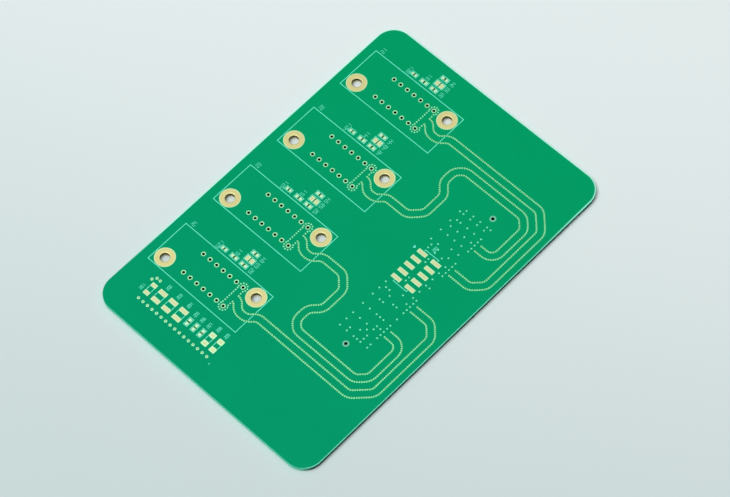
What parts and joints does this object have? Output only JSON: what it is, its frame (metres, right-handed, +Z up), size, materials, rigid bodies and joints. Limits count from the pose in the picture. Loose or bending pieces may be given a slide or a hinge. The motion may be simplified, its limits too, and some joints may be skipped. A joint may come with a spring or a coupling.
{
  "type": "bare circuit board",
  "caption": "Bare double-sided circuit board with module places, screened lanes, a connector place and a bank of filter pads.",
  "frame": {"origin": "centre of the face that the board lies on", "axes": "+X towards the connector side, +Y towards the first module place, +Z up out of the printed face"},
  "size_m": [0.08, 0.1172, 0.0016],
  "materials": {
    "bare_laminate": "cut glass-fibre laminate",
    "green_mask": "smooth satin green coating",
    "gold_plating": "flat pale gold plating",
    "legend_ink": "thin white printed ink"
  },
  "bodies": {
    "root": {"laminate": "bare_laminate", "solder_mask_top": "green_mask", "solder_mask_bottom": "green_mask", "screw_rings_1": "gold_plating", "screw_rings_2": "gold_plating", "screw_rings_3": "gold_plating", "screw_rings_4": "gold_plating", "pin_sleeves_1": "gold_plating", "pin_sleeves_2": "gold_plating", "pin_sleeves_3": "gold_plating", "pin_sleeves_4": "gold_plating", "pin_guards_1": "gold_plating", "pin_guards_2": "gold_plating", "pin_guards_3": "gold_plating", "pin_guards_4": "gold_plating", "via_fences_1": "gold_plating", "via_fences_2": "gold_plating", "via_fences_3": "gold_plating", "via_fences_4": "gold_plating", "chip_pads_1": "gold_plating", "chip_pads_2": "gold_plating", "chip_pads_3": "gold_plating", "chip_pads_4": "gold_plating", "module_legend_1": "legend_ink", "module_legend_2": "legend_ink", "module_legend_3": "legend_ink", "module_legend_4": "legend_ink", "connector_pads": "gold_plating", "connector_legend": "legend_ink", "field_vias": "gold_plating", "bank_pads": "gold_plating", "bank_vias": "gold_plating", "bank_legend": "legend_ink"}
  },
  "joints": []
}
